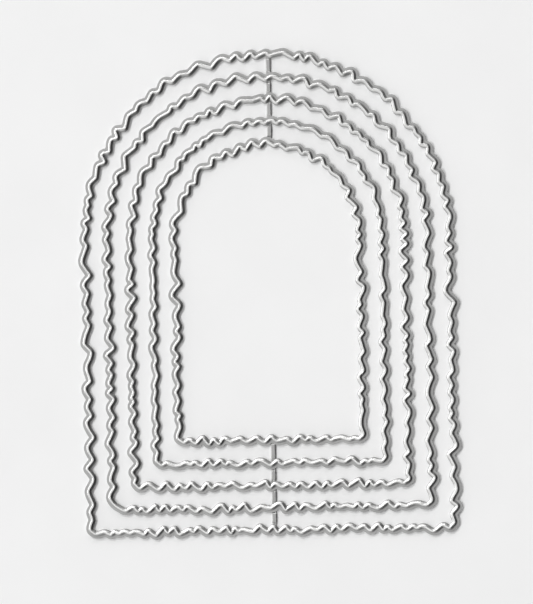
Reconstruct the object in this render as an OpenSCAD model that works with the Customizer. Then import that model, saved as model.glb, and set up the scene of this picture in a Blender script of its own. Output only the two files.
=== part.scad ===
// Nested arch cutting dies with a torn edge, etched from one sheet of steel.
// Each arch is a closed cutting line: a sharp blade that stands on a thin flange.
// The flange is wider outside the blade than inside it, and narrow bridges on the
// centre line hold every arch to its neighbour, so the whole nest is one piece.
// The sheet lies on its flat back, with its blades up.

/* [Nest of arches] */
// Number of arches, one inside the other
arch_count = 5; // [2:1:5]
// Radius of the smallest arch's cutting line
inner_radius = 24.6; // [20:0.1:32]
// Straight side of the smallest arch, from its bottom line to the spring of its curve
inner_side = 54.5; // [40:0.1:80]
// Step from one cutting line to the next
nest_step = 6; // [5:0.25:9]
// Radius of the bottom corners
corner_radius = 1.2; // [1.2:0.1:2.4]
// Radius of the one bottom corner that is torn away, on the left of the second largest arch
torn_corner_radius = 3.6; // [1.2:0.1:6]

/* [Blade and flange] */
// Height of the cutting edge above the back of the sheet
blade_h = 0.9; // [0.7:0.05:1.4]
// Thickness of the flange and of the bridges
flange_t = 0.5; // [0.3:0.02:0.6]
// Width of the blade's slope on each side of its cutting edge
slope_w = 0.66; // [0.5:0.02:0.7]
// Width of the flat flange outside the blade
flange_w = 0.59; // [0.3:0.01:0.8]
// Width of the flat ledge inside the blade
ledge_w = 0.1; // [0.06:0.01:0.24]

/* [Bridges] */
// Width of a bridge between two arches
bridge_w = 1.1; // [0.6:0.05:2]
// Place of the top bridges to the right of the centre line
top_bridge_x = 1; // [-3:0.1:3]
// Place of the bottom bridges to the right of the centre line
bottom_bridge_x = 0.4; // [-3:0.1:3]

/* [Torn edge] */
// Pitch of the waves on the left sides, smallest arch first
left_pitch = [4.3, 4.1, 4.1, 4.3, 5.6]; // [3:0.1:9]
// Pitch of the waves on the curved tops
top_pitch = [4.1, 3.9, 4.1, 4.5, 4.1]; // [3:0.1:9]
// Pitch of the waves on the right sides
right_pitch = [4.3, 4.5, 4.1, 5.4, 4.6]; // [3:0.1:9]
// Pitch of the waves on the bottom lines
bottom_pitch = [3.5, 3.6, 3.7, 3.6, 3.4]; // [3:0.1:9]
// Mean reach of the waves to either side of the plain line, smallest arch first
wave_reach = [0.66, 0.5, 0.72, 0.66, 0.75]; // [0.1:0.01:0.8]
// Choice of one torn edge out of many
tear_seed = 7; // [1:1:99]

/* [Hidden] */

// Stretches of an arch's line, clockwise
LEFT = 0;
TOP = LEFT + 1;
RIGHT = TOP + 1;
RIGHT_CORNER = RIGHT + 1;
BOTTOM = RIGHT_CORNER + 1;
LEFT_CORNER = BOTTOM + 1;
stretches = [LEFT : LEFT_CORNER];

arches = [0 : arch_count - 1];
largest_arch = arch_count - 1;
torn_arch = arch_count - 2;
outer_w = slope_w + flange_w;
inner_w = slope_w + ledge_w;

// Half-waves are from 1 / wave_range to wave_range times as long as the usual one
wave_range = 1.8;
// Reaches are from 1 - reach_spread to 1 + reach_spread times their mean
reach_spread = 0.7;
// Part of the reach that is left in a corner, and the distance over which the rest fades
corner_reach = 0.2;
corner_fade = 5;
// Share of the waves that end in a point, outwards and inwards
points_out = 0.4;
points_in = 0.6;
// Where a round wave turns over, as a share of the way to the next one
shoulder = 0.2;

function sum(list) = list * [for (x = list) 1];
function total_before(list, k) = k == 0 ? 0 : sum([for (j = [0 : k - 1]) list[j]]);
function middle(list) = (min(list) + max(list)) / 2;
function turn(length, r) = length / r * 180 / PI;
function on_circle(centre, r, a) = centre + r * [cos(a), sin(a)];

// Repeatable random numbers from 0 to 1
random_factor = 16807;
random_modulus = 2147483647;
function next_random(v) = (v * random_factor) % random_modulus;
function random_start(seed) = next_random(next_random(next_random(seed)));
function randoms(count, seed) = [
    for (k = 0, v = random_start(seed); k < count; k = k + 1, v = next_random(v)) v / random_modulus
];

// The plain line of arch i, clockwise from the top of its bottom left corner
function radius(i) = inner_radius + i * nest_step;
function side(i) = inner_side + i * nest_step;
function left_corner(i) = i == torn_arch ? torn_corner_radius : corner_radius;
function lengths(i) = [
    side(i) - left_corner(i),
    PI * radius(i),
    side(i) - corner_radius,
    PI / 2 * corner_radius,
    2 * radius(i) - corner_radius - left_corner(i),
    PI / 2 * left_corner(i)
];
function full_length(i) = sum(lengths(i));
function stretch_start(i, stretch) = total_before(lengths(i), stretch);
function stretch_middle(i, stretch) = stretch_start(i, stretch) + lengths(i)[stretch] / 2;

// The point at distance s along the plain line of arch i, moved outwards by t
function plain(i, s, t) =
    let(
        r = radius(i),
        c = corner_radius,
        l = left_corner(i),
        stretch = max([for (j = stretches) if (s >= stretch_start(i, j)) j]),
        along = s - stretch_start(i, stretch)
    )
    stretch == LEFT ? [-r - t, l - side(i) + along]
    : stretch == TOP ? on_circle([0, 0], r + t, 180 - turn(along, r))
    : stretch == RIGHT ? [r + t, -along]
    : stretch == RIGHT_CORNER ? on_circle([r - c, c - side(i)], c + t, -turn(along, c))
    : stretch == BOTTOM ? [r - c - along, -side(i) - t]
    : on_circle([l - r, l - side(i)], l + t, -90 - turn(along, l));

// Part of the waves' reach that arch i has at distance s: they fade towards the two corners
function reach_share(i, s) =
    let(
        right = stretch_middle(i, RIGHT_CORNER),
        left = stretch_middle(i, LEFT_CORNER),
        to_corner = min(abs(s - right), abs(s - left), abs(s + full_length(i) - left))
    )
    min(1, corner_reach + to_corner / corner_fade);

// Turning points of a stretch of the torn line, outwards and inwards in turn: [distance, reach, pointed]
function wave_count(i, stretch) =
    let(pitch = [left_pitch[i], top_pitch[i], right_pitch[i], undef, bottom_pitch[i], undef][stretch])
    is_undef(pitch) ? 1 : round(lengths(i)[stretch] / pitch);
function stretch_knots(i, stretch) =
    let(
        count = 2 * wave_count(i, stretch),
        dice = randoms(3 * count, tear_seed + 100 * stretch + 1000 * (i + 1)),
        widths = [for (k = [0 : count - 1]) pow(wave_range, 2 * dice[3 * k] - 1)],
        scale = lengths(i)[stretch] / sum(widths)
    )
    [
        for (k = [0 : count - 1])
            let(
                out = k % 2 == 0,
                s = stretch_start(i, stretch) + scale * total_before(widths, k),
                size = min(1, widths[k]) * (1 + reach_spread * (2 * dice[3 * k + 1] - 1)),
                pointed = dice[3 * k + 2] < (out ? points_out : points_in)
            )
            [s, wave_reach[i] * reach_share(i, s) * size * (out ? 1 : -1), pointed ? 1 : 0]
    ];
function knots(i) = [for (j = stretches) each stretch_knots(i, j)];

// The torn line between two turning points, level at a round one and steep at a pointed one
function between(a, b, x) =
    let(share = x * x * (3 - 2 * x) + a[2] * x * (1 - x) * (1 - x) - b[2] * x * x * (1 - x))
    [a[0] + (b[0] - a[0]) * x, a[1] + (b[1] - a[1]) * share];

// Arch i's torn cutting line as [distance, reach], and the same line with a lap to spare at both ends
function torn_line(i) =
    let(
        q = knots(i),
        closed = concat(q, [q[0] + [full_length(i), 0, 0]])
    )
    [
        for (k = [0 : len(q) - 1])
            let(a = closed[k], b = closed[k + 1])
            each [
                between(a, b, a[2] == 1 ? 0 : shoulder),
                if (b[2] == 0) between(a, b, 1 - shoulder)
            ]
    ];
lines = [for (i = arches) torn_line(i)];
laps = [for (i = arches) [for (lap = [-1 : 1]) for (p = lines[i]) p + [lap * full_length(i), 0]]];

// Reach at distance s of the line that runs parallel to arch i's cutting line, d outside or -d inside it
function parallel_reach(i, s, d) =
    let(way = d < 0 ? -1 : 1)
    way * max([for (a = [0 : 15 : 180]) way * lookup(s + d * cos(a), laps[i]) + abs(d) * sin(a)]);
function parallel(i, d) = [for (p = lines[i]) plain(i, p[0], parallel_reach(i, p[0], d))];

// Middle of the largest arch's outline, which is the middle of the part
outline = parallel(largest_arch, outer_w);
part_middle = [middle([for (p = outline) p.x]), middle([for (p = outline) p.y])];

// Where the bridges meet arch i's cutting line, at its top and at its bottom
function line_y(i, s) = plain(i, s, lookup(s, laps[i])).y;
function top_y(i) =
    line_y(i, stretch_middle(i, TOP) + radius(i) * asin(top_bridge_x / radius(i)) * PI / 180);
function bottom_y(i) =
    line_y(i, stretch_start(i, BOTTOM) + radius(i) - corner_radius - bottom_bridge_x);

module flange(i) {
    linear_extrude(flange_t)
        difference() {
            polygon(parallel(i, outer_w));
            polygon(parallel(i, -inner_w));
        }
}

// A ridge of three rows of points: outer foot, cutting edge and inner foot
module blade(i) {
    rows = [[slope_w, flange_t], [0, blade_h], [-slope_w, flange_t]];
    count = len(lines[i]);
    points = [for (row = rows) for (p = parallel(i, row[0])) [p.x, p.y, row[1]]];
    faces = [
        for (row = [0 : 2])
            for (k = [0 : count - 1])
                let(
                    a = row * count + k,
                    b = row * count + (k + 1) % count,
                    c = (row + 1) % 3 * count + (k + 1) % count,
                    d = (row + 1) % 3 * count + k
                )
                each [[a, b, c], [a, c, d]]
    ];
    polyhedron(points, faces);
}

module bridge(x, from_y, to_y) {
    translate([x - bridge_w / 2, from_y, 0])
        cube([bridge_w, to_y - from_y, flange_t]);
}

module die_sheet() {
    color([0.66, 0.67, 0.67])
        translate([-part_middle.x, -part_middle.y, 0]) {
            for (i = arches) {
                flange(i);
                blade(i);
            }
            for (i = [0 : arch_count - 2]) {
                bridge(top_bridge_x, top_y(i), top_y(i + 1));
                bridge(bottom_bridge_x, bottom_y(i + 1), bottom_y(i));
            }
        }
}

die_sheet();
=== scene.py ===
"""A nest of torn-edge arch cutting dies, etched from one sheet of steel, lying on a pale table."""
import math

import bpy
import numpy as np
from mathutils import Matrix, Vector


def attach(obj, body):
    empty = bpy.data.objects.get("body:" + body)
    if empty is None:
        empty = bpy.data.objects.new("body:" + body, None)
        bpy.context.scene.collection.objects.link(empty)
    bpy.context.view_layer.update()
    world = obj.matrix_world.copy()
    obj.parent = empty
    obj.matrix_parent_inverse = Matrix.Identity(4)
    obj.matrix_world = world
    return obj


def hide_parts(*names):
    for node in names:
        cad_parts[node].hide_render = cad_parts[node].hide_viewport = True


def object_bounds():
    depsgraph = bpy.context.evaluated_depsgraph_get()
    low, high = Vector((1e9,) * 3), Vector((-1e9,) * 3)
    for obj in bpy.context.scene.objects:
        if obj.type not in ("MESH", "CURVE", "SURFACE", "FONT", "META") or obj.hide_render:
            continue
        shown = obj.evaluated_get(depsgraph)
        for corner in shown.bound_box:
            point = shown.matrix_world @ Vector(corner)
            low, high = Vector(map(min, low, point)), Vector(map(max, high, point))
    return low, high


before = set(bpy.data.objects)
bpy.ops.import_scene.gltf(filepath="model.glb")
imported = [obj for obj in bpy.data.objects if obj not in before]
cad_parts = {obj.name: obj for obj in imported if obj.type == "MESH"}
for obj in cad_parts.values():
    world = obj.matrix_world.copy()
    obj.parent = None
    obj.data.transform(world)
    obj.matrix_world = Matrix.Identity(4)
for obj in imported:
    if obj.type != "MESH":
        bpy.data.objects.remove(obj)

cad_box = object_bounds()

MM = 0.001

# Sizes of the nest in millimetres, as in the CAD model
ARCH_COUNT = 5
INNER_RADIUS = 24.6
INNER_SIDE = 54.5
NEST_STEP = 6.0
CORNER_RADIUS = 1.2
TORN_CORNER_RADIUS = 3.6
BLADE_H = 0.9
FLANGE_T = 0.5
SLOPE_W = 0.66
FLANGE_W = 0.59
OUTER_W = SLOPE_W + FLANGE_W
TOP_BRIDGE_X = 1.0
BOTTOM_BRIDGE_X = 0.4

# The torn edge, as in the CAD model, with one pitch and one reach for each arch, smallest first
LEFT_PITCH = (4.3, 4.1, 4.1, 4.3, 5.6)
TOP_PITCH = (4.1, 3.9, 4.1, 4.5, 4.1)
RIGHT_PITCH = (4.3, 4.5, 4.1, 5.4, 4.6)
BOTTOM_PITCH = (3.5, 3.6, 3.7, 3.6, 3.4)
WAVE_REACH = (0.66, 0.5, 0.72, 0.66, 0.75)
WAVE_RANGE = 1.8
REACH_SPREAD = 0.7
CORNER_REACH = 0.2
CORNER_FADE = 5.0
POINTS_OUT = 0.4
POINTS_IN = 0.6
TEAR_SEED = 7
STRETCH_SEED = 100
ARCH_SEED = 1000
RANDOM_FACTOR = 16807
RANDOM_MODULUS = 2147483647

# The stretches of an arch's line, clockwise
STRETCHES = range(6)
LEFT, TOP, RIGHT, RIGHT_CORNER, BOTTOM, LEFT_CORNER = STRETCHES

# What the fine mesh adds to the cutting line: small ripples and rounded tips
RIPPLE_PITCH = 0.8
RIPPLE_REACH = 0.06
RIPPLE_SEED = 77
TIP_ROUNDING = 0.26
TIP_STEPS = 16

# How finely the cutting line and the lines parallel to it are sampled
DENSE_STEP = 0.05
FINE_STEP = 0.32
FEWEST_STEPS = 3
PARALLEL_TURN = 5

# What the fine mesh adds to the section: hollow slopes, a flat crest, a lower ledge and cusped edges
OUTER_HOLLOW = 1.7
INNER_HOLLOW = 1.2
SLOPE_STEPS = (0.0, 0.18, 0.4, 0.62, 0.82, 1.0)
CREST_W = 0.04
INNER_SLOPE_W = 0.67
INNER_W = 0.79
LEDGE_T = 0.47
CUSP = 0.04
SHARP_ANGLE = math.radians(28)

# Bridges, a little wider than in the CAD model, with sloping long edges and thin necks at the arches
BRIDGE_W = 1.3
BRIDGE_BEVEL_W = 0.24
BRIDGE_BEVEL_H = 0.19
BRIDGE_NECK_GAP = 0.3
BRIDGE_NECK_W = 0.35
BRIDGE_NECK_H = 0.27

# Looks of the steel and of the table, from the dark to the light patches
CLOUD_RANGE = (0.3, 0.7)
PIT_RANGE = (0.35, 0.65)
STEEL_TONE = (0.43, 0.49)
STEEL_ROUGHNESS = (0.39, 0.33)
STEEL_TINT = (1.0, 1.0, 0.99)
PIT_TONE = (-0.02, 0.02)
PIT_DEPTH = 0.02 * MM
# A painted highlight on the crest: towards the top of the blade the steel's colour is lightened and its
# roughness lowered
CREST_HIGHLIGHT_START = 0.9
CREST_HIGHLIGHT = 0.08
PAPER_TONE = (0.865, 0.885)
TABLE_HALF = 4.0

# Light and camera, in metres and degrees
WINDOW_DISTANCE = 8
LIT_AZIMUTH = 165
LOWER_WALL_AZIMUTH = 240
CAMERA_H = 1.6
CAMERA_AIM = (-0.0007, -0.0023)
CAMERA_ROLL = -1.1
FRAME_H = 0.1616


def random_numbers(count, seed):
    """Repeatable random numbers from 0 to 1, the same as in the CAD model."""
    value = seed
    for _ in range(3):
        value = value * RANDOM_FACTOR % RANDOM_MODULUS
    numbers = []
    for _ in range(count):
        numbers.append(value / RANDOM_MODULUS)
        value = value * RANDOM_FACTOR % RANDOM_MODULUS
    return np.array(numbers)


class Arch:
    """One arch of the nest, counted from the smallest, with its torn cutting line."""

    def __init__(self, index):
        self.index = index
        self.radius = INNER_RADIUS + index * NEST_STEP
        self.side = INNER_SIDE + index * NEST_STEP
        torn = index == ARCH_COUNT - 2
        self.left_corner = TORN_CORNER_RADIUS if torn else CORNER_RADIUS
        self.lengths = np.array([
            self.side - self.left_corner,
            math.pi * self.radius,
            self.side - CORNER_RADIUS,
            math.pi / 2 * CORNER_RADIUS,
            2 * self.radius - CORNER_RADIUS - self.left_corner,
            math.pi / 2 * self.left_corner,
        ])
        self.starts = np.concatenate([[0.0], np.cumsum(self.lengths)])
        self.full = self.starts[-1]
        self.knots = np.concatenate([self.stretch_knots(j) for j in STRETCHES])
        self.dense_s = np.arange(0.0, self.full, DENSE_STEP)
        self.dense_t = self.torn_line(self.dense_s)

    def middle(self, stretch):
        """Distance along the plain line to the middle of a stretch."""
        return self.starts[stretch] + self.lengths[stretch] / 2

    def plain(self, s, t):
        """The points at distances s along the plain line, moved outwards by t."""
        r, c, l = self.radius, CORNER_RADIUS, self.left_corner
        stretch = np.clip(np.searchsorted(self.starts, s, side="right") - 1, LEFT, LEFT_CORNER)
        along = s - self.starts[stretch]
        top = math.pi - along / r
        right = -along / c
        left = -math.pi / 2 - along / l
        x = np.choose(stretch, [
            -r - t,
            (r + t) * np.cos(top),
            r + t,
            r - c + (c + t) * np.cos(right),
            r - c - along,
            l - r + (l + t) * np.cos(left),
        ])
        y = np.choose(stretch, [
            l - self.side + along,
            (r + t) * np.sin(top),
            -along,
            c - self.side + (c + t) * np.sin(right),
            -self.side - t,
            l - self.side + (l + t) * np.sin(left),
        ])
        return x, y

    def reach_share(self, s):
        """Part of the waves' reach at distance s: they fade towards the two corners."""
        right, left = self.middle(RIGHT_CORNER), self.middle(LEFT_CORNER)
        to_corner = min(abs(s - right), abs(s - left), abs(s + self.full - left))
        return min(1.0, CORNER_REACH + to_corner / CORNER_FADE)

    def stretch_knots(self, stretch):
        """Turning points of a stretch of the torn line: distance, reach and whether it is pointed."""
        length = self.lengths[stretch]
        pitches = (LEFT_PITCH, TOP_PITCH, RIGHT_PITCH, None, BOTTOM_PITCH, None)[stretch]
        waves = 1 if pitches is None else math.floor(length / pitches[self.index] + 0.5)
        seed = TEAR_SEED + STRETCH_SEED * stretch + ARCH_SEED * (self.index + 1)
        dice = random_numbers(6 * waves, seed).reshape(-1, 3)
        widths = WAVE_RANGE ** (2 * dice[:, 0] - 1)
        places = (np.cumsum(widths) - widths) * length / widths.sum() + self.starts[stretch]
        knots = []
        for k, s in enumerate(places):
            out = k % 2 == 0
            size = min(1.0, widths[k]) * (1 + REACH_SPREAD * (2 * dice[k, 1] - 1))
            reach = WAVE_REACH[self.index] * self.reach_share(s) * size
            pointed = dice[k, 2] < (POINTS_OUT if out else POINTS_IN)
            knots.append((s, reach if out else -reach, float(pointed)))
        return np.array(knots)

    def waves(self, s):
        """Reach at distances s of the waves alone, level at a round knot and steep at a pointed one."""
        first = self.knots[0] + (self.full, 0.0, 0.0)
        knots = np.vstack([self.knots, first])
        k = np.clip(np.searchsorted(knots[:, 0], s, side="right") - 1, 0, len(knots) - 2)
        a, b = knots[k], knots[k + 1]
        x = (s - a[:, 0]) / (b[:, 0] - a[:, 0])
        share = x * x * (3 - 2 * x) + a[:, 2] * x * (1 - x) ** 2 - b[:, 2] * x * x * (1 - x)
        return a[:, 1] + (b[:, 1] - a[:, 1]) * share

    def torn_line(self, s):
        """Reach of the cutting line at evenly spaced distances s: waves and ripples with rounded tips."""
        count = int(self.full / RIPPLE_PITCH)
        ripples = RIPPLE_REACH * (2 * random_numbers(count, TEAR_SEED + RIPPLE_SEED + self.index) - 1)
        places = np.arange(count) * self.full / count
        t = self.waves(s) + np.interp(s, places, ripples, period=self.full)
        steps = np.arange(-TIP_STEPS, TIP_STEPS + 1)
        bell = np.exp(-0.5 * (steps * DENSE_STEP / TIP_ROUNDING) ** 2)
        bell /= bell.sum()
        return sum(weight * np.roll(t, n) for n, weight in zip(steps, bell))

    def reach(self, s, d=0.0):
        """Reach at distances s of the line parallel to the cutting line, d outside or -d inside it."""
        way = -1.0 if d < 0 else 1.0
        angles = np.radians(np.arange(0, 181, PARALLEL_TURN)) if d else [math.pi / 2]
        lines = []
        for a in angles:
            beside = np.interp(s + d * math.cos(a), self.dense_s, self.dense_t, period=self.full)
            lines.append(way * beside + abs(d) * math.sin(a))
        return way * np.max(lines, axis=0)

    def samples(self):
        """Distances of the mesh's cross-sections: close together on every wave, with one at each tip."""
        ends = np.append(self.knots[:, 0], self.full + self.knots[0, 0])
        parts = []
        for a, b in zip(ends[:-1], ends[1:]):
            count = max(FEWEST_STEPS, round((b - a) / FINE_STEP))
            parts.append(np.linspace(a, b, count, endpoint=False))
        return np.concatenate(parts)

    def line_y(self, s):
        """Height on the sheet of the cutting line at distance s."""
        s = np.array([s])
        return float(self.plain(s, self.reach(s))[1][0])

    def top_y(self):
        """Where a top bridge meets the cutting line."""
        turn = math.asin(TOP_BRIDGE_X / self.radius)
        return self.line_y(self.middle(TOP) + self.radius * turn)

    def bottom_y(self):
        """Where a bottom bridge meets the cutting line."""
        return self.line_y(self.starts[BOTTOM] + self.radius - CORNER_RADIUS - BOTTOM_BRIDGE_X)


def section():
    """Cross-section of an arch, from its outer to its inner foot: distance from the cutting line, height."""
    half = CREST_W / 2
    outer_edge, inner_edge = OUTER_W - CUSP, INNER_W - CUSP

    def slope(width, foot_h, hollow):
        return [
            (half + (width - half) * u, foot_h + (BLADE_H - foot_h) * (1 - u) ** hollow)
            for u in SLOPE_STEPS
        ]

    rows = [(outer_edge, 0.0), (OUTER_W, FLANGE_T / 2), (outer_edge, FLANGE_T)]
    rows += reversed(slope(SLOPE_W, FLANGE_T, OUTER_HOLLOW))
    rows += [(-d, z) for d, z in slope(INNER_SLOPE_W, LEDGE_T, INNER_HOLLOW)]
    rows += [(-inner_edge, LEDGE_T), (-INNER_W, LEDGE_T / 2), (-inner_edge, 0.0)]
    return rows


def arch_mesh(arch):
    """Points and faces of one arch, swept along its torn line."""
    s = arch.samples()
    rows = section()
    points = []
    for d, z in rows:
        x, y = arch.plain(s, arch.reach(s, d))
        points.append(np.column_stack([x, y, np.full(len(s), z)]))
    count = len(s)
    faces = []
    for row in range(len(rows)):
        a = row * count
        b = (row + 1) % len(rows) * count
        for k in range(count):
            n = (k + 1) % count
            faces.append((a + k, b + k, b + n, a + n))
    return np.concatenate(points), faces


def bridge_mesh(x, low_y, low_w, high_y, high_w):
    """Points and faces of one bridge: a bar with sloping long edges that thins out at the arches."""
    left, right = x - BRIDGE_W / 2, x + BRIDGE_W / 2
    low_edge, high_edge = low_y + low_w + BRIDGE_NECK_GAP, high_y - high_w - BRIDGE_NECK_GAP
    stations = [
        (low_y, BRIDGE_NECK_H),
        (low_edge, BRIDGE_NECK_H),
        (low_edge + BRIDGE_NECK_W, FLANGE_T),
        (high_edge - BRIDGE_NECK_W, FLANGE_T),
        (high_edge, BRIDGE_NECK_H),
        (high_y, BRIDGE_NECK_H),
    ]
    points = []
    for y, z in stations:
        shoulder = z - BRIDGE_BEVEL_H
        points += [(left, y, 0.0), (right, y, 0.0), (right, y, shoulder), (right - BRIDGE_BEVEL_W, y, z)]
        points += [(left + BRIDGE_BEVEL_W, y, z), (left, y, shoulder)]
    count = len(points) // len(stations)
    faces = []
    for start in range(0, len(points) - count, count):
        ring = [start + k for k in range(count)]
        faces += [(ring[k - 1], ring[k], ring[k] + count, ring[k - 1] + count) for k in range(count)]
    faces += [tuple(reversed(range(count))), tuple(range(len(points) - count, len(points)))]
    return points, faces


def new_object(name, points, faces):
    mesh = bpy.data.meshes.new(name)
    mesh.from_pydata([Vector(p) for p in points], [], faces)
    mesh.update()
    obj = bpy.data.objects.new(name, mesh)
    bpy.context.scene.collection.objects.link(obj)
    return obj


def joined(name, meshes):
    """One object of several meshes that don't touch."""
    points, faces = [], []
    for p, f in meshes:
        faces += [tuple(len(points) + v for v in face) for face in f]
        points += [tuple(v) for v in p]
    return new_object(name, points, faces)


def unite(body, tool):
    """Unites the body's mesh with the tool's and removes the tool."""
    union = body.modifiers.new("union", "BOOLEAN")
    union.operation = "UNION"
    union.solver = "MANIFOLD"
    union.object = tool
    graph = bpy.context.evaluated_depsgraph_get()
    mesh = bpy.data.meshes.new_from_object(body.evaluated_get(graph))
    body.modifiers.clear()
    body.data = mesh
    bpy.data.objects.remove(tool)


def settle(mesh):
    """Moves the middle of the outline to the origin, as in the CAD model, and keeps it inside the CAD box."""
    low, high = (np.array(v) / MM for v in cad_box)
    co = np.empty(3 * len(mesh.vertices))
    mesh.vertices.foreach_get("co", co)
    co = co.reshape(-1, 3)
    co[:, :2] -= (co[:, :2].min(0) + co[:, :2].max(0)) / 2
    co = np.clip(co, low, high) * MM
    mesh.vertices.foreach_set("co", co.ravel())
    mesh.update()


def make_die():
    """The whole nest as one mesh: the arches with their bridges united to them."""
    arches = [Arch(i) for i in range(ARCH_COUNT)]
    die = joined("torn_arch_dies", [arch_mesh(a) for a in arches])
    spans = []
    for inner, outer in zip(arches[:-1], arches[1:]):
        spans.append((TOP_BRIDGE_X, inner.top_y(), OUTER_W, outer.top_y(), INNER_W))
        spans.append((BOTTOM_BRIDGE_X, outer.bottom_y(), INNER_W, inner.bottom_y(), OUTER_W))
    unite(die, joined("bridges", [bridge_mesh(*span) for span in spans]))
    settle(die.data)
    die.data.shade_smooth()
    die.data.set_sharp_from_angle(angle=SHARP_ANGLE)
    return die


def node(tree, kind, **values):
    made = tree.nodes.new(kind)
    for name, value in values.items():
        setattr(made, name, value)
    return made


def noise(tree, coordinates, scale, detail):
    made = node(tree, "ShaderNodeTexNoise")
    made.inputs["Scale"].default_value = scale
    made.inputs["Detail"].default_value = detail
    tree.links.new(coordinates, made.inputs["Vector"])
    return made.outputs["Fac"]


def ramp(tree, value, span, to_span):
    """value mapped from one span of numbers to another, and held at its ends outside."""
    made = node(tree, "ShaderNodeMapRange", clamp=True)
    for name, number in zip(("From Min", "From Max", "To Min", "To Max"), (*span, *to_span)):
        made.inputs[name].default_value = number
    tree.links.new(value, made.inputs["Value"])
    return made.outputs["Result"]


def maths(tree, operation, a, b):
    made = node(tree, "ShaderNodeMath", operation=operation)
    for socket, value in zip(made.inputs, (a, b)):
        if isinstance(value, (int, float)):
            socket.default_value = value
        else:
            tree.links.new(value, socket)
    return made.outputs["Value"]


def new_material(name):
    """A node material, with its tree, its shader and the object's own coordinates."""
    material = bpy.data.materials.new(name)
    material.use_nodes = True
    tree = material.node_tree
    place = node(tree, "ShaderNodeTexCoord").outputs["Object"]
    return material, tree, tree.nodes["Principled BSDF"], place


def paint(tree, shader, tone, tint=(1.0, 1.0, 1.0)):
    """Gives the shader a tinted grey as its base colour."""
    colour = node(tree, "ShaderNodeCombineColor")
    for channel, share in zip(("Red", "Green", "Blue"), tint):
        tree.links.new(maths(tree, "MULTIPLY", tone, share), colour.inputs[channel])
    tree.links.new(colour.outputs["Color"], shader.inputs["Base Color"])


def etched_steel():
    """Satin etched steel: fine pits, cloudy patches, and a painted highlight along the crest of the blade,
    where the colour is lighter and the steel glossier.
    """
    material, tree, shader, place = new_material("etched_steel")
    height = node(tree, "ShaderNodeSeparateXYZ")
    tree.links.new(place, height.inputs["Vector"])
    pits = noise(tree, place, scale=5200, detail=3)
    clouds = noise(tree, place, scale=160, detail=4)
    # Painted highlight: the top of the blade gets a lighter colour and a lower roughness
    edge = ramp(tree, height.outputs["Z"], (CREST_HIGHLIGHT_START * BLADE_H * MM, BLADE_H * MM), (0, 1))
    crest_highlight_and_gloss = maths(tree, "MULTIPLY", edge, CREST_HIGHLIGHT)

    tone = ramp(tree, clouds, CLOUD_RANGE, STEEL_TONE)
    tone = maths(tree, "ADD", tone, ramp(tree, pits, PIT_RANGE, PIT_TONE))
    paint(tree, shader, maths(tree, "ADD", tone, crest_highlight_and_gloss), STEEL_TINT)

    rough = ramp(tree, clouds, CLOUD_RANGE, STEEL_ROUGHNESS)
    tree.links.new(maths(tree, "SUBTRACT", rough, crest_highlight_and_gloss), shader.inputs["Roughness"])
    shader.inputs["Metallic"].default_value = 1.0

    bump = node(tree, "ShaderNodeBump")
    bump.inputs["Strength"].default_value = 0.25
    bump.inputs["Distance"].default_value = PIT_DEPTH
    tree.links.new(pits, bump.inputs["Height"])
    tree.links.new(bump.outputs["Normal"], shader.inputs["Normal"])
    return material


def table_paper():
    """Pale matt paper with the faintest mottle."""
    material, tree, shader, place = new_material("table_paper")
    mottle = noise(tree, place, scale=40, detail=5)
    paint(tree, shader, ramp(tree, mottle, CLOUD_RANGE, PAPER_TONE))
    shader.inputs["Roughness"].default_value = 0.9
    shader.inputs["Specular IOR Level"].default_value = 0.1
    return material


def make_table():
    corners = [(x * TABLE_HALF, y * TABLE_HALF, 0) for x, y in ((-1, -1), (1, -1), (1, 1), (-1, 1))]
    table = new_object("table", corners, [(0, 1, 2, 3)])
    table.data.materials.append(table_paper())


def window(name, azimuth, elevation, length, width, level):
    """A soft box that looks at the origin. Level is the share of plain white that it gives the table."""
    a, e = math.radians(azimuth), math.radians(elevation)
    towards = Vector((math.cos(a) * math.cos(e), math.sin(a) * math.cos(e), math.sin(e)))
    light = bpy.data.lights.new(name, "AREA")
    light.shape = "RECTANGLE"
    light.size = length
    light.size_y = width
    light.energy = level * math.pi ** 2 * WINDOW_DISTANCE ** 2 / math.sin(e)
    obj = bpy.data.objects.new(name, light)
    obj.location = towards * WINDOW_DISTANCE
    obj.rotation_euler = towards.to_track_quat("Z", "Y").to_euler()
    bpy.context.scene.collection.objects.link(obj)


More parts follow.
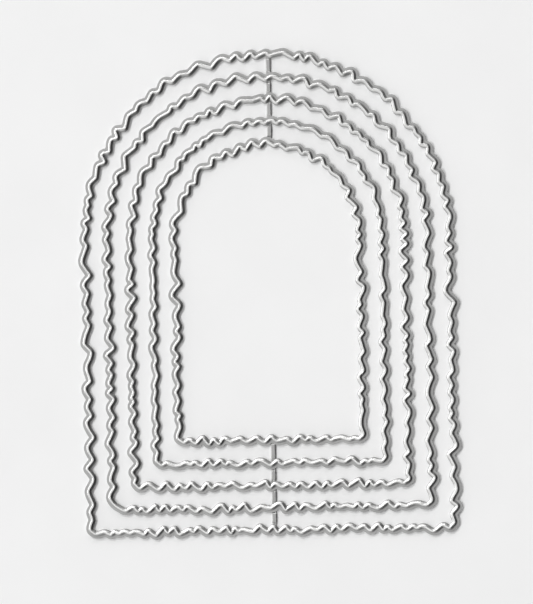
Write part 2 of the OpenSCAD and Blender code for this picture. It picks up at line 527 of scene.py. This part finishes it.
def make_windows():
    window("left_window", azimuth=176, elevation=40, length=4.8, width=1.2, level=0.265)
    window("corner_window", azimuth=128, elevation=34, length=4.0, width=1.4, level=0.255)
    window("top_window", azimuth=86, elevation=19, length=5.2, width=1.4, level=0.055)


def make_room():
    """A room that is pale along its left and lower walls and on the lit side of its ceiling."""
    world = bpy.data.worlds.new("room")
    bpy.context.scene.world = world
    world.use_nodes = True
    tree = world.node_tree
    way = node(tree, "ShaderNodeSeparateXYZ")
    tree.links.new(node(tree, "ShaderNodeTexCoord").outputs["Generated"], way.inputs["Vector"])

    def towards(azimuth):
        x = maths(tree, "MULTIPLY", way.outputs["X"], math.cos(math.radians(azimuth)))
        y = maths(tree, "MULTIPLY", way.outputs["Y"], math.sin(math.radians(azimuth)))
        return maths(tree, "ADD", x, y)

    up = way.outputs["Z"]
    lit_way = towards(LIT_AZIMUTH)
    walls = ramp(tree, up, (0.1, 0.55), (1.65, 0.08))
    walls = maths(tree, "MULTIPLY", walls, ramp(tree, lit_way, (-0.8, 0.1), (0.03, 1.0)))
    lower_wall = ramp(tree, towards(LOWER_WALL_AZIMUTH), (0.55, 0.9), (0.0, 1.0))
    ceiling = ramp(tree, up, (0.8, 0.97), (0.05, 1.0))
    ceiling = maths(tree, "MULTIPLY", ceiling, ramp(tree, lit_way, (-0.4, -0.05), (0.0, 1.0)))
    level = maths(tree, "ADD", maths(tree, "ADD", walls, lower_wall), ceiling)
    background = tree.nodes["Background"]
    tree.links.new(level, background.inputs["Strength"])
    background.inputs["Color"].default_value = (1, 1, 1, 1)


def make_camera():
    """Straight above, a little turned, with the die a little above the middle, as in the photograph."""
    data = bpy.data.cameras.new("camera")
    data.lens = data.sensor_width * CAMERA_H / FRAME_H
    data.clip_end = 20
    camera = bpy.data.objects.new("camera", data)
    camera.location = (*CAMERA_AIM, CAMERA_H)
    camera.rotation_euler = (0, 0, math.radians(CAMERA_ROLL))
    bpy.context.scene.collection.objects.link(camera)
    bpy.context.scene.camera = camera


die = make_die()
die.data.materials.clear()
die.data.materials.append(etched_steel())
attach(die, "root")
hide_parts("die_sheet")

make_table()
make_windows()
make_room()
make_camera()
bpy.context.scene.view_settings.view_transform = "Standard"
